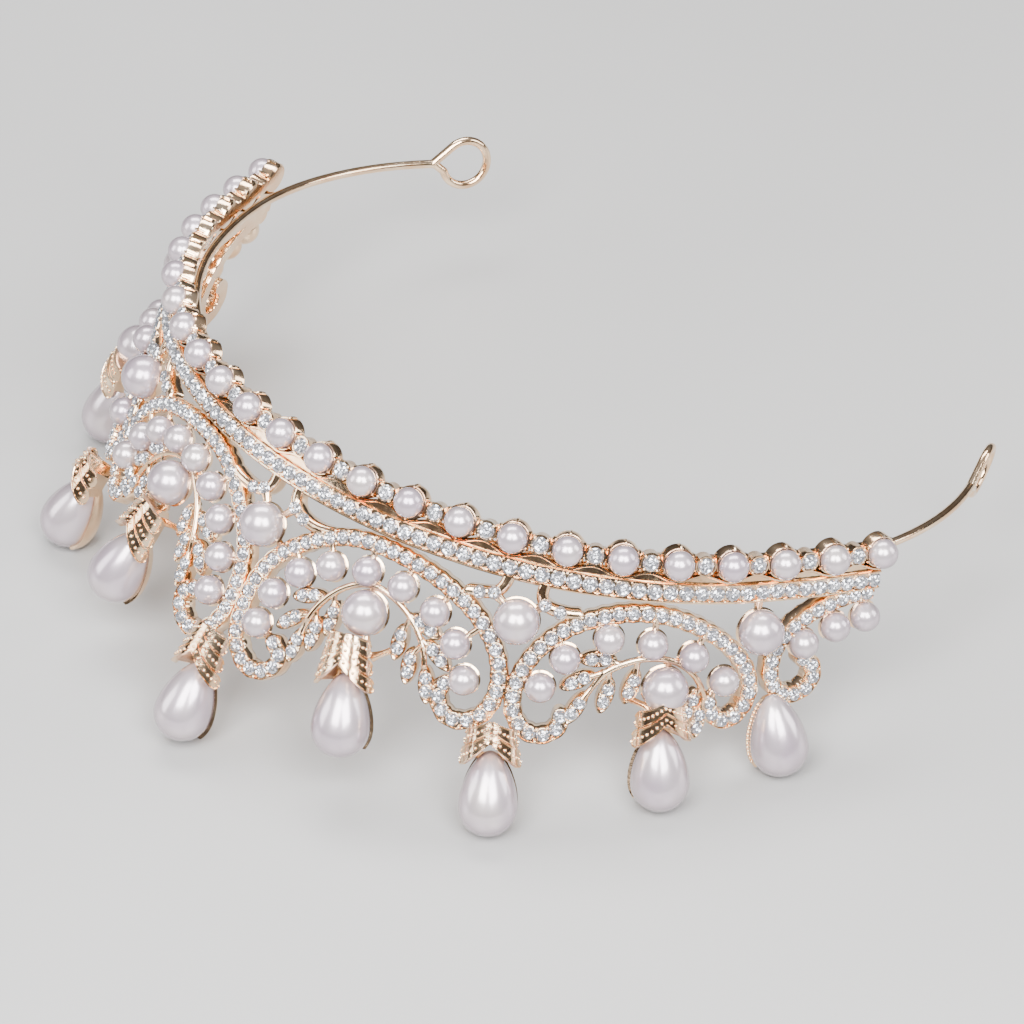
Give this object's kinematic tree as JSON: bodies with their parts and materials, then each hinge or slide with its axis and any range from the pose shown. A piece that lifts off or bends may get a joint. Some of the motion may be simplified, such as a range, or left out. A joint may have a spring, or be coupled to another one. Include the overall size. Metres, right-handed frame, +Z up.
{
  "type": "bridal tiara",
  "caption": "Bridal tiara: curved gold-tone band with a pearl row, scroll arches, leaf sprays, crystals and teardrop pearls.",
  "frame": {"origin": "centre of the bounding box's base, on the surface that the tiara rests on", "axes": "+Z up as the tiara rests upside down on its drop tips, front towards -Y, +X across the head; mirror plane at x = 0"},
  "size_m": [0.1356, 0.1144, 0.0407],
  "materials": {
    "gold": "polished pale rose gold plating",
    "pearl": "pearl lustre, white with a faint lavender sheen",
    "crystal": "clear faceted crystal with a bright foil back"
  },
  "bodies": {
    "root": {"band_cup_stones": "crystal", "band_pearls": "pearl", "bracket_stones": "crystal", "centre_bracket": "gold", "channel_stones": "crystal", "drop_pearl_a_left": "pearl", "drop_pearl_a_right": "pearl", "drop_pearl_b_left": "pearl", "drop_pearl_b_right": "pearl", "drop_pearl_centre": "pearl", "drop_pearl_j1_left": "pearl", "drop_pearl_j1_right": "pearl", "drop_pearl_j2_left": "pearl", "drop_pearl_j2_right": "pearl", "drop_setting_a_left": "gold", "drop_setting_a_right": "gold", "drop_setting_b_left": "gold", "drop_setting_b_right": "gold", "drop_setting_centre": "gold", "drop_setting_j1_left": "gold", "drop_setting_j1_right": "gold", "drop_setting_j2_left": "gold", "drop_setting_j2_right": "gold", "end_scroll_left": "gold", "end_scroll_pearls": "pearl", "end_scroll_right": "gold", "end_scroll_stones": "crystal", "front_gallery": "gold", "head_wire": "gold", "large_arch_left": "gold", "large_arch_pearls": "pearl", "large_arch_right": "gold", "large_arch_stones": "crystal", "large_pearls": "pearl", "large_spray_left": "gold", "large_spray_right": "gold", "large_spray_stones": "crystal", "rear_gallery_left": "gold", "rear_gallery_right": "gold", "rear_strut_left": "gold", "rear_strut_right": "gold", "side_bracket_left": "gold", "side_bracket_right": "gold", "small_arch_left": "gold", "small_arch_pearls": "pearl", "small_arch_right": "gold", "small_arch_stones": "crystal", "small_spray_left": "gold", "small_spray_right": "gold", "small_spray_stones": "crystal"}
  },
  "joints": []
}
